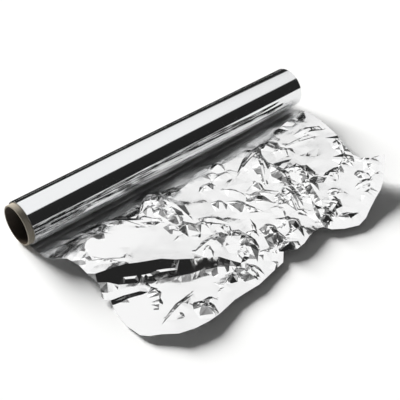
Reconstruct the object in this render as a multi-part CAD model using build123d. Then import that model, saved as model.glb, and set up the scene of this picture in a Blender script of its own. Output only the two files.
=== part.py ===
from build123d import *
import math
import os
import random

import numpy as np
from scipy.interpolate import LinearNDInterpolator
from scipy.spatial import Delaunay

# Sizes in mm
foil_width = 300.0
roll_diameter = 38.0
core_diameter = 35.2
core_wall = 1.6
core_stub = 5.0
rim_break = 0.3
flat_behind = 2.0
flat_ahead = 14.0
sheet_reach = 168.0
corner_height = 19.0
sheet_thickness = 0.4

# How finely the loose sheet is folded
fold_pitch = 5.0
fold_gap = 1.6
crease_pitch = 2.5
crease_gap = 1.1
facet_pitch = 10.0
facet_gap = 5.0
facet_shift = 1.6
smallest_facet = 0.2

# A crease is a spear-shaped facet that falls from its crest, with a long gentle back
crease_step = 1.35
crease_slope = 0.42
crease_back = 2.2
crease_taper = 0.4
crease_start = 12.0
crease_side = (0.9, -0.43)

# Small dents crowd the middle of the sheet
dent_depth = 1.2
dent_middle = (165.0, 105.0)
dent_spread = (80.0, 60.0)
dent_seed = 11

roll_radius = roll_diameter / 2
core_radius = core_diameter / 2
bore_radius = core_radius - core_wall
core_length = foil_width + core_stub

# The folds are set out for this sheet and scale with the one above:
# across from the end with the stub, out from the roll's axis, height of the underside
plan_width = 300.0
plan_start = 14.0
plan_reach = 168.0
plan_height = 19.0

left_edge = [
    (0, 14, 0), (-1, 23, 3.4), (-1.5, 31, 5), (1.5, 38.5, 6.6), (9, 47, 8.4), (11, 60, 9.4),
    (9.5, 73, 11), (11, 80, 9), (11.5, 86, 6.5), (9, 90.5, 4.5), (7, 93.5, 4), (6.5, 97, 4),
    (10, 101, 3.8), (9, 104, 1.6), (6.5, 112, 1.5), (4.5, 127, 1.5), (5.5, 141, 3), (9, 147, 4.5),
]
front_edge = [
    (15.5, 152, 5.5), (25, 161, 7), (37, 165, 7), (49, 166.5, 7), (60, 165.5, 6),
    (78, 162, 5), (92, 162, 4.5), (103, 162.5, 4.5), (119, 159.5, 4), (134, 157, 3.5),
    (141.5, 150, 4.5), (146, 151, 5), (151, 155.5, 6), (160, 155, 6.5), (169, 152, 7),
    (182, 150, 6.2), (186.4, 151.5, 5.6), (189.6, 157.3, 5), (199, 163, 4), (211, 168, 4),
    (221, 166.5, 5), (232, 162, 7), (243, 158, 9), (253, 155, 11), (264, 149, 13.5),
    (274, 142, 16), (285, 131.5, 19),
]
right_edge = [
    (276, 125, 16), (270, 119, 15), (269.5, 110, 14), (273.5, 101, 13), (280, 87.5, 12),
    (285, 76, 12), (288, 64, 12), (291, 53, 11.4), (293.5, 41, 10), (295.5, 29, 8), (300, 14, 0),
]

# Main folds, each a line over the sheet with its height at every turn
main_folds = {
    "long step, brow": [
        (9.5, 77, 12), (21, 81, 13), (35, 85.5, 13.5), (44, 91, 13.5), (60, 99, 13),
        (67.5, 106, 12.5), (80, 114.5, 11.5), (89, 119, 10), (97.5, 124, 9), (102, 131.5, 8),
    ],
    "long step, foot": [
        (17.5, 87, 7), (24, 92.3, 4), (34, 97.5, 2.6), (43, 101.5, 1.6), (50, 106, 1.2),
        (64, 112, 1), (74, 117, 1), (86, 120.5, 1.5), (94, 125.5, 2), (100, 132.5, 4.5),
    ],
    "ribbon on the long step, back": [
        (30, 90.4, 6.6), (36, 93.6, 6), (42, 97, 5.8), (48, 100.2, 6), (54, 102, 7),
        (60, 105, 6.8), (66, 108.2, 6),
    ],
    "ribbon on the long step, lip": [
        (30, 93, 6.4), (36, 96.4, 5.8), (42, 99.8, 5.6), (48, 103, 5.8), (54, 104.8, 6.8),
        (60, 107.8, 6.6), (66, 110.6, 5.8),
    ],
    "rolled fold, crest": [(9, 93, 4.6), (20, 96.5, 4.6), (30, 100.5, 4), (38, 104, 2.8)],
    "rolled fold, lip": [(11, 101.5, 4), (20, 103.5, 4), (32, 107.5, 3.4)],
    "rolled fold, foot": [(11, 104.5, 1.4), (21, 106.5, 1.2), (33, 110, 1.2), (42, 111, 1.2)],
    "lobe": [(15, 130, 2.4), (30, 135, 3), (50, 140, 3.5), (75, 142, 3.4), (95, 150, 3.6)],
    "pleat": [(10.5, 53, 9), (18.5, 57.5, 10.6), (10.5, 72, 10.4)],
    "left panel": [(12, 44, 8.2), (25, 48, 9), (22, 62, 10), (34, 77, 11.4), (40, 86, 13.2)],
    "left panel, middle": [(45, 65, 10), (60, 78, 11), (72, 92, 11.6), (82, 105, 11)],
    "left panel, far": [(20, 34, 5), (45, 47, 8.6), (62, 58, 9.6), (80, 62, 9.8)],
    "slope by the roll, left": [(40, 26, 4), (52, 28, 5.4), (71, 33, 7.4), (95, 30.5, 6.4), (112, 22, 2.6)],
    "far panel": [(70, 42, 9), (86, 44, 9.2), (100, 44, 9.2), (112, 40, 8.6), (100, 62, 9.8)],
    "curved band, high side": [
        (115, 32, 7), (110, 46, 9.2), (110, 60, 9.8), (113, 73, 9.8), (120, 84, 9.4), (129, 96, 8.8),
    ],
    "curved band, low side": [
        (121, 32, 6.8), (118, 47, 8.6), (118, 60, 9.2), (121, 71, 9.2), (127, 81, 8.8), (134, 93, 8.3),
    ],
    "behind the long step": [(90, 100, 10.4), (104, 95, 9.8), (118, 104, 8.6), (104, 116, 8.8)],
    "middle front": [(112, 124, 7.4), (115, 132, 6.8), (110, 142, 5.6), (120, 150, 5)],
    "slope by the roll, middle": [
        (121, 42, 7.8), (140, 38.5, 7.8), (158, 34, 7.4), (172, 32, 7.4), (190, 34.5, 7.6), (206, 38, 8),
    ],
    "middle panel, far": [(135, 62, 8.4), (165, 64, 8.4), (200, 62, 8.8)],
    "middle panel": [(140, 86, 8.2), (170, 88, 8.4), (198, 86, 8.8)],
    "middle panel, front": [(138, 106, 7.8), (168, 108, 8), (194, 106, 8.4)],
    "crossing folds": [(138, 126, 7), (166, 126, 7.2), (190, 126, 7.4)],
    "front pleats": [(150, 141, 6.2), (166, 141, 6.6), (183, 140, 6.6)],
    "long spear": [(246, 37, 7), (222, 44.5, 8.6), (200, 50.5, 8.6), (180, 57, 8.2), (173, 60, 8)],
    "right step, brow": [
        (214, 108, 11), (212, 113, 11.2), (208, 123, 11.2), (205, 131, 10.8), (198.5, 138.5, 10),
        (194, 147, 8.6), (192, 155, 6),
    ],
    "right step, foot": [
        (210, 106, 8.4), (206, 114, 7.9), (202, 123.5, 7.4), (196, 131, 7), (190.5, 139, 6.6),
        (188, 148, 5.8),
    ],
    "slope by the roll, right": [(262, 31, 6.6), (276, 29, 6.6), (289, 28, 6.7)],
    "right wing, far": [(240, 47, 7.2), (262, 42, 7.6), (284, 40, 8.3)],
    "right wing": [(226, 70, 8.8), (246, 72, 9.2), (266, 70, 10), (280, 68, 10.6)],
    "right wing, front": [(222, 100, 9.4), (240, 97, 10), (258, 93, 11), (270, 91, 11.8)],
    "turned-up edge, hollow": [(264, 108, 12.6), (250, 115, 11.8), (234, 125, 11.2), (220, 138, 10.4)],
    "turned-up edge, fan": [(262, 121, 13.4), (252, 131, 12.8), (240, 141, 11.4), (226, 150, 9.2)],
}

# Creases, each the two ends of its crest and its facet's width in crease steps
creases = {
    "left panel": [(4, 24, 80, 63, 7), (26, 22, 88, 58, 7), (13, 58, 46, 84, 1.6)],
    "lobe": [
        (22, 145, 61, 136, 3), (49, 149, 60, 146, 3), (60, 146, 69, 154, 3), (55, 148, 60, 164, 4),
        (42, 111, 40, 122, 2.5), (31, 131, 40, 121, 2), (74, 147, 91, 148, 2), (38, 143, 38, 151, 2),
    ],
    "pinch by the roll": [
        (113, 21, 85, 43, 3.5), (114, 25, 92, 42, 4.5), (113, 28, 103, 53, 4), (90, 40, 95, 48, 3),
        (100, 46, 96, 63, 2.5), (107, 55, 100, 77, 4), (77, 46, 88, 57, 2.5), (88, 57, 90, 64, 2.5),
        (86, 70, 97, 78, 3),
    ],
    "middle step": [
        (93, 81, 108, 83, 6), (106, 83, 125, 97, 4), (114, 80, 132, 99, 4), (84, 109, 123, 104, 3.5),
        (92, 108, 98, 117, 3), (119, 98, 127, 103, 2.5),
    ],
    "crossing folds": [
        (131, 110, 118, 145, 6), (111, 129, 127, 122, 2.5), (107, 138, 121, 130, 3),
        (120, 111, 127, 108, 3), (91, 139, 93, 149, 5), (104, 140, 105, 161, 2.5),
        (110, 140, 113, 158, 2.5), (98, 139, 106, 143, 2.5), (128, 138, 132, 146, 3),
        (141, 129, 154, 141, 6), (124, 143, 156, 143, 3), (136, 148, 158, 150, 4.5),
        (134, 116, 139, 125, 3), (144, 120, 158, 128, 3.5), (156, 133, 173, 124, 3),
        (170, 124, 171, 141, 5), (154, 140, 174, 142, 3), (127, 151, 128, 158, 2.5),
    ],
    "middle panel": [
        (136, 71, 145, 82, 3.5), (147, 78, 158, 98, 3.5), (158, 91, 162, 102, 3),
        (138, 54, 154, 50, 2.5), (153, 50, 180, 49, 2.5), (155, 40, 169, 47, 3),
        (175, 30, 176, 46, 3), (154, 64, 165, 80, 2.5), (159, 86, 176, 107, 5),
        (164, 84, 190, 99, 4), (174, 108, 196, 101, 3.5), (182, 72, 181, 89, 2.5),
        (181, 109, 183, 122, 3), (173, 109, 174, 121, 2.5),
    ],
    "long folds": [
        (217, 45, 187, 86, 5), (232, 37, 176, 59, 3.5), (211, 62, 203, 101, 5), (201, 90, 191, 125, 4.5),
        (195, 100, 184, 125, 4.5), (217, 49, 237, 42, 4), (225, 55, 242, 62, 3.5),
        (220, 80, 222, 98, 6), (219, 78, 215, 90, 3), (181, 128, 190, 127, 2.5),
    ],
    "hook": [
        (233, 89, 214, 105, 6), (214, 104, 213, 122, 4), (199, 110, 216, 105, 5),
        (224, 117, 246, 109, 3), (218, 126, 228, 134, 2.5),
    ],
    "foot of the right step": [
        (198, 151, 220, 160, 2.5), (202, 138, 205, 150, 3), (210, 136, 214, 147, 4.5),
        (193, 142, 196, 153, 3), (214, 131, 215, 140, 2.5),
    ],
    "right wing": [
        (258, 49, 284, 57, 4), (236, 55, 282, 64, 2), (284, 79, 268, 102, 3),
        (268, 101, 251, 112, 3), (252, 111, 238, 122, 2.5), (267, 103, 262, 118, 2.5),
        (258, 31, 282, 29, 2.5),
    ],
    "turned-up edge": [
        (250, 128, 259, 131, 2.5), (260, 130, 282, 122, 3), (248, 132, 260, 135, 2.5),
        (261, 135, 280, 127, 3), (238, 139, 258, 142, 2.5), (244, 146, 268, 141, 2.5),
        (228, 154, 250, 148, 2.5), (266, 121, 280, 119, 2),
    ],
}

across_scale = foil_width / plan_width
out_scale = (sheet_reach - flat_ahead) / (plan_reach - plan_start)
height_scale = corner_height / plan_height


def on_sheet(point):
    across, out, height = point
    ahead = flat_ahead + (out - plan_start) * out_scale
    return (across * across_scale, ahead, height * height_scale)


def points_along(line, pitch):
    points = [line[0]]
    for start, end in zip(line, line[1:]):
        steps = max(1, math.ceil(math.dist(start[:2], end[:2]) / pitch))
        for i in range(1, steps + 1):
            t = i / steps
            points.append(tuple(a + (b - a) * t for a, b in zip(start, end)))
    return points


def inside_outline(points, outline):
    inside = np.zeros(len(points), dtype=bool)
    for (x0, y0), (x1, y1) in zip(outline, np.roll(outline, -1, axis=0)):
        crosses = (y0 > points[:, 1]) != (y1 > points[:, 1])
        if y0 != y1:
            reach = x0 + (points[:, 1] - y0) * (x1 - x0) / (y1 - y0)
            inside ^= crosses & (points[:, 0] < reach)
    return inside


# Length of a crest, its direction and the side to which its facet falls
def crease_axes(crease):
    x0, y0, x1, y1, width = crease
    length = math.dist((x0, y0), (x1, y1))
    ux = (x1 - x0) / length
    uy = (y1 - y0) / length
    turned = ux * crease_side[1] - uy * crease_side[0]
    fall = (-uy, ux) if turned > 0 else (uy, -ux)
    return length, (ux, uy), fall


def crease_height(points, crease):
    x0, y0, x1, y1, width = crease
    length, (ux, uy), (nx, ny) = crease_axes(crease)
    dx = points[:, 0] - x0
    dy = points[:, 1] - y0
    along = (dx * ux + dy * uy) / length
    side = dx * nx + dy * ny
    reach = np.clip(np.minimum(along, 1 - along) / crease_taper, 0, 1) * width
    fallen = np.where(side > 0, side, -side / crease_back)
    return crease_slope * np.maximum(reach - fallen, 0)


# Corners along the crest and the foot of a crease, and two on its back
def crease_points(crease):
    x0, y0, x1, y1, width = crease
    length, (ux, uy), (nx, ny) = crease_axes(crease)
    foot = [(x0, y0)]
    back = []
    for t in (crease_taper, 1 - crease_taper):
        x = x0 + ux * length * t
        y = y0 + uy * length * t
        foot.append((x + nx * width, y + ny * width))
        back.append((x - nx * width * crease_back, y - ny * width * crease_back))
    foot.append((x1, y1))
    crest = points_along([(x0, y0), (x1, y1)], crease_pitch)
    return crest + points_along(foot, crease_pitch) + back


# Keeps the points that stand clear of the ones already set
def add_clear(kept, points, gap):
    for point in points:
        near = any(math.dist(point[:2], other[:2]) < gap for other in kept)
        if not near:
            kept.append(point)


edge_line = [on_sheet(p) for p in left_edge + front_edge + right_edge]
edge_points = points_along(edge_line, fold_pitch)
strip_line = [edge_line[-1], edge_line[0]]
strip_points = points_along(strip_line, fold_pitch)[1:-1]
rim_points = edge_points + strip_points
outline = np.array([p[:2] for p in rim_points])

fold_points = list(rim_points)
for line in main_folds.values():
    turned = [on_sheet(p) for p in line]
    add_clear(fold_points, points_along(turned, fold_pitch), fold_gap)
main_height = LinearNDInterpolator([p[:2] for p in fold_points], [p[2] for p in fold_points])

sheet_creases = []
for group in creases.values():
    for x0, y0, x1, y1, width in group:
        start = on_sheet((x0, y0, 0))
        end = on_sheet((x1, y1, 0))
        sheet_creases.append((start[0], start[1], end[0], end[1], width * crease_step))

corners = [(p[0], p[1]) for p in fold_points]
for crease in sheet_creases:
    add_clear(corners, crease_points(crease), crease_gap)
folded_count = len(corners)

# The rest of the sheet is filled in staggered rows
rng = random.Random(dent_seed)
fill = []
row_gap = facet_pitch * math.sqrt(3) / 2
rows = int((sheet_reach - flat_ahead) / row_gap)
columns = int(foil_width / facet_pitch)
for row in range(rows + 1):
    for column in range(-1, columns + 2):
        across = (column + row % 2 / 2) * facet_pitch + rng.uniform(-facet_shift, facet_shift)
        ahead = flat_ahead + row * row_gap + rng.uniform(-facet_shift, facet_shift)
        fill.append((across, ahead))
add_clear(corners, fill, facet_gap)

plan = np.array(corners)
crowding = (plan - dent_middle) / dent_spread
dents = dent_depth * np.exp(-(crowding**2).sum(axis=1))
dents[:folded_count] = 0
for i in range(folded_count, len(plan)):
    dents[i] *= rng.uniform(-1, 1)

keep = inside_outline(plan, outline)
keep[: len(rim_points)] = True
plan = plan[keep]
rise = np.zeros(len(plan))
for crease in sheet_creases:
    rise = np.maximum(rise, crease_height(plan, crease))
free = np.clip((plan[:, 1] - flat_ahead) / crease_start, 0, 1)
height = main_height(plan) + dents[keep] + rise * free
height[: len(rim_points)] = [p[2] for p in rim_points]
height = np.maximum(np.nan_to_num(height), 0)

# Plan facets run anticlockwise; slivers along a straight edge are dropped
facets = Delaunay(plan).simplices
first, second = (plan[facets[:, i]] - plan[facets[:, 0]] for i in (1, 2))
doubled_area = first[:, 0] * second[:, 1] - first[:, 1] * second[:, 0]
on_foil = inside_outline(plan[facets].mean(axis=1), outline)
facets = facets[on_foil & (doubled_area > smallest_facet)]

# Each facet and its underside, and the wall around the cut edge
left_end = -foil_width / 2
floor = -roll_radius


def corner_at(i, lift):
    return Vector(left_end + plan[i][0], -plan[i][1], floor + height[i] + lift)


skin = []
edges = set()
for a, b, c in facets.tolist():
    skin.append(Face(Wire.make_polygon([corner_at(i, sheet_thickness) for i in (a, c, b)])))
    skin.append(Face(Wire.make_polygon([corner_at(i, 0) for i in (a, b, c)])))
    edges |= {(a, c), (c, b), (b, a)}
for i, j in edges:
    if (j, i) not in edges:
        wall = [corner_at(i, 0), corner_at(j, 0), corner_at(j, sheet_thickness)]
        wall.append(corner_at(i, sheet_thickness))
        skin.append(Face(Wire.make_polygon(wall)))
loose_sheet = Solid(Shell(skin))

# The wound turns, with the web that leaves them at the floor
with BuildPart() as wound_turns:
    with BuildSketch(Plane.YZ.offset(left_end)):
        Circle(roll_radius)
        with Locations((-flat_ahead, floor)):
            Rectangle(flat_ahead + flat_behind, sheet_thickness, align=(Align.MIN, Align.MIN))
        Circle(core_radius, mode=Mode.SUBTRACT)
    extrude(amount=foil_width)

foil = wound_turns.part.fuse(loose_sheet)

# The cardboard core stands out of the turns at one end
with BuildPart() as core_tube:
    with BuildSketch(Plane.YZ.offset(left_end - core_stub)):
        Circle(core_radius)
        Circle(bore_radius, mode=Mode.SUBTRACT)
    extrude(amount=core_length)
    chamfer(core_tube.edges().filter_by(GeomType.CIRCLE), rim_break)

os.makedirs("parts", exist_ok=True)
export_step(foil, "parts/foil.step")
export_step(core_tube.part, "parts/core_tube.step")
print(len(facets), "facets,", foil.volume, foil.is_valid, len(foil.solids()))
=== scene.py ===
import math

import bmesh
import bpy
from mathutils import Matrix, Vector, noise


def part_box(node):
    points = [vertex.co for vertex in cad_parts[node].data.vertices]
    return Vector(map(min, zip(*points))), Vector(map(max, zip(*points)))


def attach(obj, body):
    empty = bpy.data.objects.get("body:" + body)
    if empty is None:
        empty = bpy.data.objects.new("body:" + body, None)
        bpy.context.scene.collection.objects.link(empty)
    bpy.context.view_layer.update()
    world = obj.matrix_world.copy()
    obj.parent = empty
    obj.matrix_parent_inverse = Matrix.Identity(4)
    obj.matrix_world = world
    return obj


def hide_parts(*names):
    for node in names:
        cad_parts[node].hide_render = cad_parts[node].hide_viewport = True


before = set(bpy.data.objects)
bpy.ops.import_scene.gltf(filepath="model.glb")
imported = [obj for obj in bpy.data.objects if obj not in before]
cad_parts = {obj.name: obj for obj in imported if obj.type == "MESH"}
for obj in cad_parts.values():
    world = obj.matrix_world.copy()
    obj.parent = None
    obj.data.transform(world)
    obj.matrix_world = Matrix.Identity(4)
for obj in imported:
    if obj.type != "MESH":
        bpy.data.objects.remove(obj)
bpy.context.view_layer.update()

mm = 0.001

# Sizes read from the frame
foilLow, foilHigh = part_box("foil")
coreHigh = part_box("core_tube")[1]
rollRadius = foilHigh[2]
coreRadius = coreHigh[2]
rightEnd = coreHigh[0]
leftEnd = -rightEnd
floorLevel = foilLow[2]


def hexColor(text):
    channels = [int(text[i:i + 2], 16) / 255 for i in (1, 3, 5)]
    linear = [c / 12.92 if c <= 0.04045 else ((c + 0.055) / 1.055) ** 2.4 for c in channels]
    return (*linear, 1.0)


def addNode(tree, kind, settings=None, links=None):
    node = tree.nodes.new(kind)
    for name, value in (settings or {}).items():
        if isinstance(name, int) or name in node.inputs:
            node.inputs[name].default_value = value
        else:
            setattr(node, name, value)
    for name, socket in (links or {}).items():
        tree.links.new(socket, node.inputs[name])
    return node


def newMaterial(name):
    material = bpy.data.materials.new(name)
    material.use_nodes = True
    tree = material.node_tree
    return material, tree, tree.nodes["Principled BSDF"]


def objectPlace(tree):
    return addNode(tree, "ShaderNodeTexCoord").outputs["Object"]


# Rolling leaves a fine grain that runs round the roll
def addRollingGrain(tree, place, lineGap, linesPerMetre):
    lines = addNode(tree, "ShaderNodeMapping", {"Scale": (1 / lineGap, linesPerMetre, linesPerMetre)},
                    {"Vector": place}).outputs[0]
    return addNode(tree, "ShaderNodeTexNoise", {"Scale": 1.0, "Detail": 2.0}, {"Vector": lines}).outputs["Fac"]


# Distance from the roll's axis
def addRadius(tree, place):
    flat = addNode(tree, "ShaderNodeMapping", {"Scale": (0, 1, 1)}, {"Vector": place}).outputs[0]
    return addNode(tree, "ShaderNodeVectorMath", {"operation": "LENGTH"}, {0: flat}).outputs["Value"]


# Shifts a pattern by a soft noise, so that its lines aren't straight
def addBend(tree, place, wavesPerMetre, reach):
    shake = addNode(tree, "ShaderNodeTexNoise", {"Scale": wavesPerMetre, "Detail": 1.0},
                    {"Vector": place}).outputs["Color"]
    nudge = addNode(tree, "ShaderNodeVectorMath", {"operation": "SCALE", "Scale": reach}, {0: shake}).outputs[0]
    return addNode(tree, "ShaderNodeVectorMath", {"operation": "ADD"}, {0: place, 1: nudge}).outputs[0]


# Aluminium foil, bright side: rolled against polished steel, so it mirrors with faint rolling lines
def makeBrightFoil():
    material, tree, shader = newMaterial("bright rolled aluminium")
    shader.inputs["Base Color"].default_value = hexColor("#e9eaeb")
    shader.inputs["Metallic"].default_value = 1.0
    grain = addRollingGrain(tree, objectPlace(tree), lineGap=0.6 * mm, linesPerMetre=12)
    rough = addNode(tree, "ShaderNodeMapRange", {"To Min": 0.07, "To Max": 0.13}, {"Value": grain})
    tree.links.new(rough.outputs[0], shader.inputs["Roughness"])
    bump = addNode(tree, "ShaderNodeBump", {"Strength": 0.02, "Distance": 0.05 * mm}, {"Height": grain})
    tree.links.new(bump.outputs[0], shader.inputs["Normal"])
    return material


# Crushed foil is flat between its creases, so each small facet leans its own way
facetLook = {
    "wavesPerMetre": 30.0,  # bends in the facets' outlines
    "bendReach": 3 * mm,
    "layers": (
        {"size": 10 * mm, "stretch": 2.2, "turn": -42, "lean": 0.06},
        {"size": 5 * mm, "stretch": 3.2, "turn": 18, "lean": 0.05},
    ),
}


def addFacets(tree, place, amount):
    bent = addBend(tree, place, facetLook["wavesPerMetre"], facetLook["bendReach"])
    normal = addNode(tree, "ShaderNodeNewGeometry").outputs["Normal"]
    for layer in facetLook["layers"]:
        size = layer["size"]
        laid = addNode(tree, "ShaderNodeMapping",
                       {"vector_type": "TEXTURE", "Scale": (size * layer["stretch"], size, 1),
                        "Rotation": (0, 0, math.radians(layer["turn"]))}, {"Vector": bent}).outputs[0]
        cell = addNode(tree, "ShaderNodeTexVoronoi", {"voronoi_dimensions": "2D", "Scale": 1.0},
                       {"Vector": laid}).outputs["Color"]
        lean = addNode(tree, "ShaderNodeVectorMath", {"operation": "SUBTRACT", 1: (0.5, 0.5, 0.5)},
                       {0: cell}).outputs[0]
        share = addNode(tree, "ShaderNodeMath", {"operation": "MULTIPLY", 1: 2 * layer["lean"]},
                        {0: amount}).outputs[0]
        tilt = addNode(tree, "ShaderNodeVectorMath", {"operation": "SCALE"},
                       {0: lean, "Scale": share}).outputs[0]
        normal = addNode(tree, "ShaderNodeVectorMath", {"operation": "ADD"}, {0: normal, 1: tilt}).outputs[0]
    return addNode(tree, "ShaderNodeVectorMath", {"operation": "NORMALIZE"}, {0: normal}).outputs[0]


# Aluminium foil, satin side: rolled against its twin sheet, so it blurs what it mirrors
def makeSatinFoil():
    material, tree, shader = newMaterial("satin rolled aluminium")
    shader.inputs["Base Color"].default_value = hexColor("#f0f0f0")
    shader.inputs["Metallic"].default_value = 1.0
    place = objectPlace(tree)
    grain = addRollingGrain(tree, place, lineGap=0.8 * mm, linesPerMetre=20)
    rough = addNode(tree, "ShaderNodeMapRange", {"To Min": 0.09, "To Max": 0.13}, {"Value": grain}).outputs[0]
    amount = addNode(tree, "ShaderNodeAttribute", {"attribute_name": "crumple"}).outputs["Fac"]
    matt = addNode(tree, "ShaderNodeMapRange", {"From Max": 0.2, "To Min": 0.36},
                   {"Value": amount, "To Max": rough})  # scuffed where it leaves the roll
    tree.links.new(matt.outputs[0], shader.inputs["Roughness"])
    tree.links.new(addFacets(tree, place, amount), shader.inputs["Normal"])
    return material


# Cut edges of the wound turns: fine rings of bare metal
def makeTurnEdges():
    material, tree, shader = newMaterial("wound foil edges")
    shader.inputs["Base Color"].default_value = hexColor("#c8c9ca")
    shader.inputs["Metallic"].default_value = 1.0
    shader.inputs["Roughness"].default_value = 0.32
    turnGap = 0.14 * mm  # drawn ten times coarser than the foil so that the turns show
    turns = addNode(tree, "ShaderNodeMath", {"operation": "MULTIPLY", 1: 2 * math.pi / turnGap},
                    {0: addRadius(tree, objectPlace(tree))}).outputs[0]
    wave = addNode(tree, "ShaderNodeMath", {"operation": "SINE"}, {0: turns}).outputs[0]
    bump = addNode(tree, "ShaderNodeBump", {"Strength": 0.6, "Distance": 0.05 * mm}, {"Height": wave})
    tree.links.new(bump.outputs[0], shader.inputs["Normal"])
    return material


# Grey board wound in a spiral: matt and fibrous; inside the bore it is drawn darker, a painted shade for the
# dim inside of the tube
def makeGreyBoard():
    material, tree, shader = newMaterial("spiral wound grey board")
    place = objectPlace(tree)
    fibreSize = 0.9 * mm
    boreShadeDepth = 1.3 * mm  # the painted shade starts this deep from the outside of the tube
    fibre = addNode(tree, "ShaderNodeTexNoise", {"Scale": 1 / fibreSize, "Detail": 4.0},
                    {"Vector": place}).outputs["Fac"]
    tone = addNode(tree, "ShaderNodeMix",
                   {"data_type": "RGBA", 6: hexColor("#8d8578"), 7: hexColor("#b1a99a")}, {0: fibre}).outputs[2]
    # painted shade: the board inside the bore gets a dark colour instead of its fibrous tone
    boreShade = addNode(tree, "ShaderNodeMath", {"operation": "LESS_THAN", 1: coreRadius - boreShadeDepth},
                     {0: addRadius(tree, place)}).outputs[0]
    board = addNode(tree, "ShaderNodeMix", {"data_type": "RGBA", 7: hexColor("#4a4138")}, {0: boreShade, 6: tone})
    tree.links.new(board.outputs[2], shader.inputs["Base Color"])
    shader.inputs["Roughness"].default_value = 0.85
    bump = addNode(tree, "ShaderNodeBump", {"Strength": 0.25, "Distance": 0.1 * mm}, {"Height": fibre})
    tree.links.new(bump.outputs[0], shader.inputs["Normal"])
    return material


brightFoil = makeBrightFoil()
satinFoil = makeSatinFoil()
turnEdges = makeTurnEdges()
greyBoard = makeGreyBoard()
print("materials made")

# The web: one lap round the roll, the strip under it and the crumpled sheet in front
webLook = {
    "joinAt": -14 * mm,  # where the flat strip ends and the sheet begins
    "cuts": 1,           # new points along each fold line
    "gauge": 0.1 * mm,
    "lapTurn": 372,      # degrees of the outer lap, its start tucked under the strip
    "lapSink": 1.6,      # in gauges, how much deeper one turn of the lap ends
    "streakStart": 238,  # the lap has finer rows from here, down its front to the strip
    "streakEnd": 356,
    "streakStep": 0.8,
    "plainStep": 2.0,
    "sharpAngle": 2.5,   # facets that meet at more degrees than this keep a sharp edge
}


# The sharpest creases: both ends, in mm across from the roll's left end and out from its axis,
# then width in mm and slope
creaseMarks = (
    (140, 54, 157, 50, 3.1, 0.4), (154, 50, 176, 49, 2.0, 0.4), (175, 59, 214, 46, 2.7, 0.4),
    (213, 48, 187, 87, 3.5, 0.4), (215, 50, 202, 74, 2.7, 0.4), (210, 66, 204, 102, 3.8, 0.4),
    (213, 69, 205, 97, 2.3, 0.4), (136, 72, 147, 81, 3.3, 0.4), (148, 81, 163, 107, 3.7, 0.4),
    (164, 81, 187, 101, 1.3, 0.4), (161, 84, 178, 76, 1.7, 0.4), (185, 73, 180, 89, 2.2, 0.4),
    (176, 107, 193, 104, 4.5, 0.4), (193, 104, 185, 126, 3.6, 0.4), (198, 96, 189, 126, 4.4, 0.4),
    (195, 113, 211, 111, 3.8, 0.4), (210, 111, 228, 96, 2.0, 0.4), (225, 86, 222, 101, 3.1, 0.4),
    (161, 92, 178, 108, 1.6, 0.4), (46, 17, 78, 59, 3.3, 0.4), (16, 12, 54, 52, 5.6, 0.24),
    (76, 53, 92, 66, 2.0, 0.4), (85, 43, 117, 14, 2.5, 0.4), (92, 40, 120, 17, 5.3, 0.24),
    (118, 25, 104, 53, 3.3, 0.4), (102, 50, 96, 66, 2.5, 0.4), (105, 61, 99, 79, 3.5, 0.4),
    (116, 37, 114, 79, 7.8, 0.24), (113, 78, 132, 99, 2.8, 0.24), (91, 76, 131, 100, 3.4, 0.4),
    (85, 74, 95, 83, 2.0, 0.4), (81, 87, 96, 86, 2.3, 0.4), (91, 110, 121, 106, 3.9, 0.4),
    (129, 102, 120, 115, 1.7, 0.4), (129, 114, 130, 139, 4.6, 0.4), (108, 131, 121, 126, 2.7, 0.4),
    (148, 107, 140, 124, 2.4, 0.4), (140, 123, 162, 130, 2.7, 0.4), (142, 130, 156, 140, 5.4, 0.4),
    (134, 143, 159, 148, 4.6, 0.4), (161, 133, 172, 126, 2.5, 0.4), (170, 128, 176, 138, 6.1, 0.24),
    (207, 114, 202, 130, 4.5, 0.4), (202, 129, 190, 152, 5.3, 0.4), (280, 81, 264, 105, 2.7, 0.4),
    (264, 105, 259, 121, 2.3, 0.4), (264, 105, 241, 116, 3.2, 0.4), (246, 112, 236, 124, 1.6, 0.4),
    (239, 114, 224, 118, 2.9, 0.24), (266, 54, 286, 64, 3.6, 0.24), (237, 55, 270, 65, 2.7, 0.24),
    (223, 54, 241, 64, 2.1, 0.24), (205, 134, 212, 146, 2.2, 0.4), (201, 136, 203, 152, 3.1, 0.4),
    (203, 152, 222, 159, 1.8, 0.4), (236, 141, 253, 145, 1.9, 0.4), (252, 142, 273, 134, 2.1, 0.4),
    (215, 128, 228, 137, 1.6, 0.4), (196, 141, 194, 154, 6.1, 0.24), (24, 59, 38, 85, 1.4, 0.24),
    (13, 102, 35, 110, 2.2, 0.4), (44, 108, 43, 118, 3.0, 0.4), (27, 140, 64, 132, 3.1, 0.4),
    (53, 147, 71, 151, 2.7, 0.4), (58, 150, 59, 164, 4.7, 0.4), (93, 136, 99, 147, 4.3, 0.4),
    (111, 140, 110, 158, 3.1, 0.4), (84, 118, 105, 135, 5.4, 0.4),
)
creaseLook = {
    "peak": 0.45,         # where along its length a crease is widest
    "back": 2.0,          # its far side falls over this many widths
    "cutReach": 6 * mm,   # faces this near to a crease's line are cut along it
    "snap": 0.05 * mm,    # a cut runs through points this near
    "liftReach": 1 * mm,  # how far past a crease's foot its points are looked for
    "cutClear": 1 * mm,   # the join stays uncut and unlifted for this far
    "liftClear": 2 * mm,
}


def creaseLines():
    for x0, out0, x1, out1, width, slope in creaseMarks:
        start = Vector((x0 * mm + leftEnd, -out0 * mm))
        end = Vector((x1 * mm + leftEnd, -out1 * mm))
        if (end - start).x < 2 * (end - start).y:  # the steep side looks to the right or to the roll
            start, end = end, start
        left = Vector((start.y - end.y, end.x - start.x)).normalized()
        middle = left * width * mm / 2
        yield start - middle, end - middle, left, width * mm, slope


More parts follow.
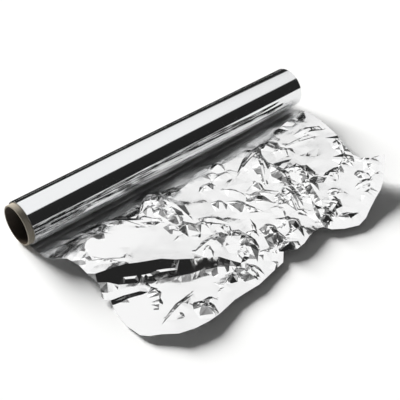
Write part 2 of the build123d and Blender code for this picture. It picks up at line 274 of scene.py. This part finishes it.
def vertsNear(bm, start, end, reach):
    x0, x1 = sorted((start.x, end.x))
    y0, y1 = sorted((start.y, end.y))
    top = min(y1 + reach, webLook["joinAt"] - creaseLook["liftClear"])
    return [v for v in bm.verts if x0 - reach < v.co.x < x1 + reach and y0 - reach < v.co.y < top]


def cutAlong(bm, start, end, left):
    reach = creaseLook["cutReach"]
    top = webLook["joinAt"] - creaseLook["cutClear"]
    faces = set()
    for v in vertsNear(bm, start, end, reach):
        if abs((v.co.xy - start).dot(left)) < reach:
            faces.update(f for f in v.link_faces if all(p.co.y < top for p in f.verts))
    edges = {e for f in faces for e in f.edges}
    verts = {v for f in faces for v in f.verts}
    across = Vector((start.y - end.y, end.x - start.x, 0)).normalized()
    bmesh.ops.bisect_plane(bm, geom=[*verts, *edges, *faces], dist=creaseLook["snap"],
                           plane_co=(*start, 0), plane_no=across)


# Each crease is a low ridge with one steep side: its lines are cut into the sheet, then its points go up
def cutCreases(bm):
    peak, back = creaseLook["peak"], creaseLook["back"]
    for start, end, left, width, _ in creaseLines():
        steepFoot = start.lerp(end, peak) + left * width
        backFoot = start.lerp(end, peak) - left * back * width
        outline = ((start, end), (start, steepFoot), (steepFoot, end), (start, backFoot), (backFoot, end))
        for one, other in outline:
            cutAlong(bm, one, other, left)
    bmesh.ops.triangulate(bm, faces=bm.faces)
    lifts = {}
    for start, end, left, width, slope in creaseLines():
        along = end - start
        for v in vertsNear(bm, start, end, back * width + creaseLook["liftReach"]):
            far = (v.co.xy - start).dot(along) / along.length_squared
            side = (v.co.xy - start).dot(left)
            wide = width * min(far / peak, (1 - far) / (1 - peak))
            lifts[v] = max(lifts.get(v, 0.0), slope * min(wide - side, wide + side / back))
    for v, lift in lifts.items():
        v.co.z += lift


def copyLooseSheet(mesh):
    weld, slack = 0.001 * mm, 0.01 * mm
    lookingUp = -0.02  # faces over this are the solid's upper side and its rim
    joinAt = webLook["joinAt"] + slack
    bm = bmesh.new()
    bm.from_mesh(mesh)
    bmesh.ops.remove_doubles(bm, verts=bm.verts, dist=weld)
    bm.normal_update()
    other = [f for f in bm.faces if f.normal.z > lookingUp or any(v.co.y > joinAt for v in f.verts)]
    bmesh.ops.delete(bm, geom=other, context="FACES")
    bmesh.ops.subdivide_edges(bm, edges=bm.edges, cuts=webLook["cuts"], use_grid_fill=True)
    bmesh.ops.triangulate(bm, faces=bm.faces)
    cutCreases(bm)
    return bm


def ramp(value, start, length):
    return max(0.0, min(1.0, (value - start) / length))


# Streaks low on the roll, where the outer lap is slack
streakLook = {
    "start": 240,         # degrees round the roll
    "startFade": 14,
    "end": 352,
    "endFade": 20,
    "fanFrom": 246,       # the streaks draw together round here at the left end
    "fanLeft": 0.45,
    "fanSpread": 0.75,
    "broad": 0.16,        # how fast the streaks repeat, in radians to a degree
    "broadShare": 2,
    "broadDrift": 1.2,
    "fine": 0.37,
    "fineShare": 0.5,
    "fineDrift": 2.2,
    "fineShift": 1.0,
    "driftSize": (150 * mm, 90),  # across and in degrees
    "driftSeed": 3.1,
    "height": 0.2,        # mm
    "level": 0.3,         # taken off so that the streaks lie on the turns
    "dentSize": (24 * mm, 11),
    "dentSeed": 8.7,
    "dentHeight": 0.012,  # mm
}


def softNoise(x, degrees, size, seed):
    return noise.noise(Vector((x / size[0], degrees / size[1], seed)))


def lapWrinkle(x, degrees):
    look = streakLook
    across = (x - leftEnd) / (rightEnd - leftEnd)
    fan = look["fanLeft"] + look["fanSpread"] * across
    down = (degrees - look["fanFrom"]) / fan
    drift = softNoise(x, degrees, look["driftSize"], look["driftSeed"])
    dent = softNoise(x, degrees, look["dentSize"], look["dentSeed"])
    band = ramp(degrees, look["start"], look["startFade"]) * ramp(degrees, look["end"], -look["endFade"])
    broad = abs(math.sin(down * look["broad"] + look["broadDrift"] * drift))
    fine = abs(math.sin(down * look["fine"] + look["fineShift"] + look["fineDrift"] * drift))
    streak = look["broadShare"] * (1 - broad) - look["fineShare"] * fine
    return band * look["height"] * mm * (streak - look["level"]) + look["dentHeight"] * mm * dent


def lapAngles():
    degrees = 0.0
    while degrees < webLook["lapTurn"]:
        yield degrees
        streaked = webLook["streakStart"] <= degrees < webLook["streakEnd"]
        degrees += webLook["streakStep"] if streaked else webLook["plainStep"]
    yield webLook["lapTurn"]


def addLap(bm):
    joinAt, slack = webLook["joinAt"], 0.02 * mm
    joined = [v for v in bm.verts if abs(v.co.y - joinAt) < slack and abs(v.co.z - floorLevel) < slack]
    join = sorted(joined, key=lambda v: v.co.x)
    step = webLook["cuts"] + 1
    row = [bm.verts.new((v.co.x, joinAt / 2, floorLevel)) for v in join[::step]]
    for i in range(len(row) - 1):
        bm.faces.new(join[i * step:(i + 1) * step + 1][::-1] + [row[i], row[i + 1]])
    rows = [row]
    for degrees in lapAngles():
        angle = math.radians(degrees)
        sunk = webLook["lapSink"] * webLook["gauge"] * degrees / 360
        ring = []
        for v in row:
            r = rollRadius - sunk + lapWrinkle(v.co.x, degrees)
            ring.append(bm.verts.new((v.co.x, r * math.sin(angle), -r * math.cos(angle))))
        rows.append(ring)
    for low, high in zip(rows, rows[1:]):
        for i in range(len(row) - 1):
            bm.faces.new((low[i], high[i], high[i + 1], low[i + 1]))


# The fine crumple between the creases, and where on the sheet it is strong
crumpleLook = {"Large facet": 13 * mm, "Small facet": 6 * mm, "Steepness": 0.05, "Seed": 4.0}
crumplePlain = 0.2
crumplePatches = (
    {"across": 20 * mm, "out": 105 * mm, "width": 62 * mm, "depth": 48 * mm, "more": 0.8},
    {"across": 92 * mm, "out": 72 * mm, "width": 24 * mm, "depth": 40 * mm, "more": 0.5},
)
crumpleStart = (17 * mm, 18 * mm)  # out from the axis, where it sets in and over how far


def crumpleAmount(x, out):
    amount = crumplePlain
    for patch in crumplePatches:
        sideways = (x - patch["across"]) / patch["width"]
        outward = (out - patch["out"]) / patch["depth"]
        amount += patch["more"] * math.exp(-sideways ** 2 - outward ** 2)
    return ramp(out, *crumpleStart) * min(1.0, amount)


def makeCreaseTree():
    wavesPerMetre, bendReach = 45.0, 4 * mm
    tree = bpy.data.node_groups.new("foil creases", "GeometryNodeTree")
    face = tree.interface
    face.new_socket("Geometry", in_out="INPUT", socket_type="NodeSocketGeometry")
    for name in crumpleLook:
        face.new_socket(name, in_out="INPUT", socket_type="NodeSocketFloat")
    face.new_socket("Material", in_out="INPUT", socket_type="NodeSocketMaterial")
    face.new_socket("Geometry", in_out="OUTPUT", socket_type="NodeSocketGeometry")
    given = addNode(tree, "NodeGroupInput").outputs
    spot = addNode(tree, "GeometryNodeInputPosition").outputs[0]
    amount = addNode(tree, "GeometryNodeInputNamedAttribute",
                     {"data_type": "FLOAT", "Name": "crumple"}).outputs[0]
    bent = addBend(tree, spot, wavesPerMetre, bendReach)
    shift = addNode(tree, "ShaderNodeVectorMath", {"operation": "ADD"}, {0: bent, 1: given["Seed"]}).outputs[0]
    lifts = []
    for size in ("Large facet", "Small facet"):
        count = addNode(tree, "ShaderNodeMath", {"operation": "DIVIDE", 0: 1.0}, {1: given[size]}).outputs[0]
        links = {"Vector": shift, "Scale": count}
        inside = {"voronoi_dimensions": "2D", "feature": "DISTANCE_TO_EDGE"}
        reach = addNode(tree, "ShaderNodeTexVoronoi", inside, links).outputs["Distance"]
        cell = addNode(tree, "ShaderNodeTexVoronoi", {"voronoi_dimensions": "2D"}, links).outputs["Color"]
        chance = addNode(tree, "FunctionNodeSeparateColor", None, {0: cell}).outputs[0]
        side = addNode(tree, "ShaderNodeMapRange", {"To Min": -1.0, "To Max": 1.0},
                       {"Value": chance}).outputs[0]
        metres = addNode(tree, "ShaderNodeMath", {"operation": "MULTIPLY"},
                         {0: reach, 1: given[size]}).outputs[0]
        lift = addNode(tree, "ShaderNodeMath", {"operation": "MULTIPLY"}, {0: metres, 1: side})
        lifts.append(lift.outputs[0])
    both = addNode(tree, "ShaderNodeMath", {"operation": "ADD"}, {0: lifts[0], 1: lifts[1]}).outputs[0]
    steep = addNode(tree, "ShaderNodeMath", {"operation": "MULTIPLY"},
                    {0: both, 1: given["Steepness"]}).outputs[0]
    lift = addNode(tree, "ShaderNodeMath", {"operation": "MULTIPLY"}, {0: steep, 1: amount}).outputs[0]
    up = addNode(tree, "ShaderNodeCombineXYZ", None, {"Z": lift}).outputs[0]
    moved = addNode(tree, "GeometryNodeSetPosition", None,
                    {"Geometry": given["Geometry"], "Offset": up}).outputs[0]
    real = addNode(tree, "GeometryNodeRealizeInstances", None, {"Geometry": moved}).outputs[0]
    dressed = addNode(tree, "GeometryNodeSetMaterial", None,
                      {"Geometry": real, "Material": given["Material"]}).outputs[0]
    addNode(tree, "NodeGroupOutput", None, {"Geometry": dressed})
    return tree


def setInput(modifier, name, value):
    for item in modifier.node_group.interface.items_tree:
        if item.name == name and item.in_out == "INPUT":
            modifier[item.identifier] = value


def plainMesh(piece):
    depsgraph = bpy.context.evaluated_depsgraph_get()
    mesh = bpy.data.meshes.new_from_object(piece.evaluated_get(depsgraph))
    piece.modifiers.clear()
    piece.data = mesh


def makeWeb():
    bm = copyLooseSheet(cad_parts["foil"].data)
    addLap(bm)
    mesh = bpy.data.meshes.new("foil_web")
    bm.to_mesh(mesh)
    bm.free()
    amount = mesh.attributes.new("crumple", "FLOAT", "POINT")
    amount.data.foreach_set("value", [crumpleAmount(v.co.x, -v.co.y) for v in mesh.vertices])
    web = bpy.data.objects.new("foil_web", mesh)
    bpy.context.collection.objects.link(web)
    creases = web.modifiers.new("creases", "NODES")
    creases.node_group = makeCreaseTree()
    for name, value in crumpleLook.items():
        setInput(creases, name, value)
    setInput(creases, "Material", brightFoil)
    plainMesh(web)
    web.data.materials.append(satinFoil)
    thick = web.modifiers.new("gauge", "SOLIDIFY")
    thick.thickness = webLook["gauge"]
    thick.offset = -1
    thick.material_offset = 1
    plainMesh(web)
    web.data.shade_smooth()
    web.data.set_sharp_from_angle(angle=math.radians(webLook["sharpAngle"]))
    return web


# The turns under the outer lap, as one ring with their cut edges at both ends
turnsLook = {
    "around": 160,
    "under": 3,        # gauges below the outer lap
    "sharpAngle": 40,  # degrees
}


def makeTurns():
    bm = bmesh.new()
    outer = rollRadius - turnsLook["under"] * webLook["gauge"]
    around = turnsLook["around"]
    rings = [(leftEnd, coreRadius), (leftEnd, outer), (rightEnd, outer), (rightEnd, coreRadius)]
    angles = [2 * math.pi * i / around for i in range(around)]
    loops = [[bm.verts.new((x, r * math.cos(a), r * math.sin(a))) for a in angles] for x, r in rings]
    for low, high in zip(loops, loops[1:] + loops[:1]):
        for i in range(around):
            j = (i + 1) % around
            bm.faces.new((low[i], low[j], high[j], high[i]))
    bmesh.ops.recalc_face_normals(bm, faces=bm.faces)
    mesh = bpy.data.meshes.new("wound_turns")
    bm.to_mesh(mesh)
    bm.free()
    mesh.shade_smooth()
    mesh.set_sharp_from_angle(angle=math.radians(turnsLook["sharpAngle"]))
    mesh.materials.append(turnEdges)
    turns = bpy.data.objects.new("wound_turns", mesh)
    bpy.context.collection.objects.link(turns)
    return turns


web = makeWeb()
print("web made", sum(len(p.vertices) - 2 for p in web.data.polygons), "triangles")
turns = makeTurns()
for piece in (web, turns):
    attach(piece, "root")
    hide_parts("foil")
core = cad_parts["core_tube"]
core.data.materials.clear()
core.data.materials.append(greyBoard)
print("roll made")

# Floor, lamps and camera, in metres and degrees
stageLook = {
    "floorSize": 24.0,
    "floorColor": "#f6f6f5",
    "floorLift": 1.12,                 # what the camera and the metal see of the floor is white
    "stripAcross": (-0.4, 1.6),        # painted dark reflection: a dark strip behind the roll that only metal mirrors
    "stripOut": (0.03, 1.2),
    "stripRise": 0.2 * mm,
    "stripColor": "#121212",
    "panelHeight": 1.5,                # a softbox overhead that only metal mirrors
    "panelAcross": (0.2, 2.0),
    "panelOut": (-0.68, 3.3),
    "panelGlow": 1.04,
    "panelFade": (0.3, 0.84),          # where it starts to fade across, and its level at the right end
    "backToward": (-0.15, 2.5, 1.05),  # a lamp behind that only the matt floor and board show
    "backAngle": 26,
    "backLevel": 0.9,                  # share of a white floor's light
    "lens": 76.3,                      # mm
    "sensorWidth": 36.0,
    "cameraAt": (-378.5 * mm, -468.4 * mm, 439.5 * mm),
    "cameraDown": 39.645,
    "cameraTurn": -41.609,
}

# The room, which only metal mirrors: dim, with unevenly lit grey walls to the left and the right front
roomLook = {
    "surround": 0.02,
    "walls": 0.6,
    "leftWall": (0.27, 0.1),         # directions across, where it sets in and where it is full
    "rightWall": (0.68, 0.85),
    "rightWallOut": (0.25, 0.1),     # directions out
    "gapToward": (-0.3, -0.9, 0.3),  # the dark room in front, which the long fold mirrors
    "gapEdge": (0.74, 0.62),         # as cosines of the angle to its middle
    "blotchScale": 3.0,
    "blotchRange": (0.4, 0.6),
    "blotchDark": 0.06,
    "patchScale": 5.0,               # soft shapes at the right that only steep facets show
    "patchRange": (0.45, 0.7),
    "patchGlow": 0.3,
    "fill": 0.1,                     # what lights matt surfaces from all round
}


def newMattMaterial(name, color):
    material, _, shader = newMaterial(name)
    shader.inputs["Base Color"].default_value = hexColor(color)
    shader.inputs["Roughness"].default_value = 0.9
    shader.inputs["Specular IOR Level"].default_value = 0.0
    return material


def addPlane(name, across, out, level, material):
    corners = [(across[0], out[0]), (across[1], out[0]), (across[1], out[1]), (across[0], out[1])]
    mesh = bpy.data.meshes.new(name)
    mesh.from_pydata([(*corner, level) for corner in corners], [], [(0, 1, 2, 3)])
    mesh.materials.append(material)
    plane = bpy.data.objects.new(name, mesh)
    bpy.context.collection.objects.link(plane)
    return plane


def makeFloor():
    material = newMattMaterial("pale floor", stageLook["floorColor"])
    tree = material.node_tree
    path = addNode(tree, "ShaderNodeLightPath").outputs
    mirrored = addNode(tree, "ShaderNodeMath", {"operation": "MAXIMUM"},
                       {0: path["Is Glossy Ray"], 1: path["Is Transmission Ray"]}).outputs[0]
    seen = addNode(tree, "ShaderNodeMath", {"operation": "MAXIMUM"},
                   {0: path["Is Camera Ray"], 1: mirrored}).outputs[0]
    plain = hexColor(stageLook["floorColor"])
    lifted = (*(c * stageLook["floorLift"] for c in plain[:3]), 1.0)
    color = addNode(tree, "ShaderNodeMix", {"data_type": "RGBA", 6: plain, 7: lifted}, {0: seen}).outputs[2]
    tree.links.new(color, tree.nodes["Principled BSDF"].inputs["Base Color"])
    half = stageLook["floorSize"] / 2
    floor = addPlane("floor", (-half, half), (-half, half), floorLevel, material)


# Painted dark reflection: a dark strip hidden from the camera, from matt surfaces and from shadows, so that the
# roll's top mirrors dark instead of the lit floor
def makeReflectionStrip():
    material = newMattMaterial("painted reflection card", stageLook["stripColor"])
    level = floorLevel + stageLook["stripRise"]
    strip = addPlane("painted_reflection_strip", stageLook["stripAcross"], stageLook["stripOut"], level, material)
    strip.visible_camera = False
    strip.visible_diffuse = False
    strip.visible_shadow = False


def makeSoftbox():
    left, right = stageLook["panelAcross"]
    front, back = stageLook["panelOut"]
    fadeStart, fadeLevel = stageLook["panelFade"]
    lamp = bpy.data.lights.new("softbox", "AREA")
    lamp.shape = "RECTANGLE"
    lamp.size = right - left
    lamp.size_y = back - front
    lamp.energy = stageLook["panelGlow"] * math.pi * lamp.size * lamp.size_y
    panel = bpy.data.objects.new("softbox", lamp)
    panel.location = ((left + right) / 2, (front + back) / 2, stageLook["panelHeight"])
    panel.visible_diffuse = False
    bpy.context.collection.objects.link(panel)
    lamp.use_nodes = True
    tree = lamp.node_tree
    spot = addNode(tree, "ShaderNodeNewGeometry").outputs["Parametric"]
    across = addNode(tree, "ShaderNodeSeparateXYZ", None, {0: spot}).outputs["X"]
    fade = addNode(tree, "ShaderNodeMapRange",
                   {"interpolation_type": "SMOOTHSTEP", "From Min": fadeStart, "From Max": 1.0,
                    "To Min": 1.0, "To Max": fadeLevel}, {"Value": across})
    tree.links.new(fade.outputs[0], tree.nodes["Emission"].inputs["Strength"])


def makeBackLamp():
    toward = Vector(stageLook["backToward"]).normalized()
    sun = bpy.data.lights.new("back lamp", "SUN")
    sun.angle = math.radians(stageLook["backAngle"])
    sun.energy = stageLook["backLevel"] * math.pi / toward.z
    lamp = bpy.data.objects.new("back lamp", sun)
    lamp.rotation_euler = toward.to_track_quat("Z", "Y").to_euler()
    lamp.visible_glossy = False
    bpy.context.collection.objects.link(lamp)


def makeRoom():
    room = bpy.data.worlds.new("dim studio")
    room.use_nodes = True
    tree = room.node_tree
    path = addNode(tree, "ShaderNodeLightPath").outputs
    toward = addNode(tree, "ShaderNodeTexCoord").outputs["Generated"]
    parts = addNode(tree, "ShaderNodeSeparateXYZ", None, {0: toward}).outputs
    bands = {}
    for name, axis, fade in (("leftWall", "X", "SMOOTHSTEP"), ("rightWall", "X", "SMOOTHSTEP"),
                             ("rightWallOut", "Y", "LINEAR")):
        start, full = roomLook[name]
        bands[name] = addNode(tree, "ShaderNodeMapRange",
                              {"interpolation_type": fade, "From Min": start, "From Max": full},
                              {"Value": parts[axis]}).outputs[0]
    rightWall = addNode(tree, "ShaderNodeMath", {"operation": "MULTIPLY"},
                        {0: bands["rightWall"], 1: bands["rightWallOut"]}).outputs[0]
    walls = addNode(tree, "ShaderNodeMath", {"operation": "MAXIMUM"},
                    {0: rightWall, 1: bands["leftWall"]}).outputs[0]
    ahead = addNode(tree, "ShaderNodeVectorMath", {"operation": "DOT_PRODUCT", 1: roomLook["gapToward"]},
                    {0: toward}).outputs["Value"]
    gapStart, gapEnd = roomLook["gapEdge"]
    gap = addNode(tree, "ShaderNodeMapRange",
                  {"From Min": gapStart, "From Max": gapEnd, "To Max": roomLook["walls"]},
                  {"Value": ahead}).outputs[0]
    blotches = addNode(tree, "ShaderNodeTexNoise", {"Scale": roomLook["blotchScale"], "Detail": 1.0},
                       {"Vector": toward}).outputs["Fac"]
    low, high = roomLook["blotchRange"]
    uneven = addNode(tree, "ShaderNodeMapRange",
                     {"From Min": low, "From Max": high, "To Min": roomLook["blotchDark"]},
                     {"Value": blotches}).outputs[0]
    lit = addNode(tree, "ShaderNodeMath", {"operation": "MULTIPLY"}, {0: gap, 1: uneven}).outputs[0]
    wallGlow = addNode(tree, "ShaderNodeMath", {"operation": "MULTIPLY"}, {0: walls, 1: lit}).outputs[0]
    shapes = addNode(tree, "ShaderNodeTexNoise", {"Scale": roomLook["patchScale"], "Detail": 1.0},
                     {"Vector": toward}).outputs["Fac"]
    low, high = roomLook["patchRange"]
    patch = addNode(tree, "ShaderNodeMapRange",
                    {"From Min": low, "From Max": high, "To Max": roomLook["patchGlow"]},
                    {"Value": shapes}).outputs[0]
    glow = addNode(tree, "ShaderNodeMath", {"operation": "MULTIPLY"},
                   {0: bands["rightWall"], 1: patch}).outputs[0]
    most = addNode(tree, "ShaderNodeMath", {"operation": "MAXIMUM"}, {0: glow, 1: wallGlow}).outputs[0]
    dim = addNode(tree, "ShaderNodeMath", {"operation": "ADD", 1: roomLook["surround"]}, {0: most}).outputs[0]
    level = addNode(tree, "ShaderNodeMapRange", {"To Max": roomLook["fill"]},
                    {"Value": path["Is Diffuse Ray"], "To Min": dim})
    tree.nodes["Background"].inputs["Color"].default_value = (1, 1, 1, 1)
    tree.links.new(level.outputs[0], tree.nodes["Background"].inputs["Strength"])
    bpy.context.scene.world = room


def makeCamera():
    data = bpy.data.cameras.new("camera")
    data.lens = stageLook["lens"]
    data.sensor_width = stageLook["sensorWidth"]
    data.clip_end = 100.0
    camera = bpy.data.objects.new("camera", data)
    camera.location = stageLook["cameraAt"]
    tilt = math.radians(90 - stageLook["cameraDown"])
    camera.rotation_euler = (tilt, 0.0, math.radians(stageLook["cameraTurn"]))
    bpy.context.collection.objects.link(camera)
    bpy.context.scene.camera = camera


makeFloor()
makeReflectionStrip()
makeSoftbox()
makeBackLamp()
makeRoom()
makeCamera()
bpy.context.scene.view_settings.view_transform = "Standard"
print("stage made")

bpy.context.view_layer.update()
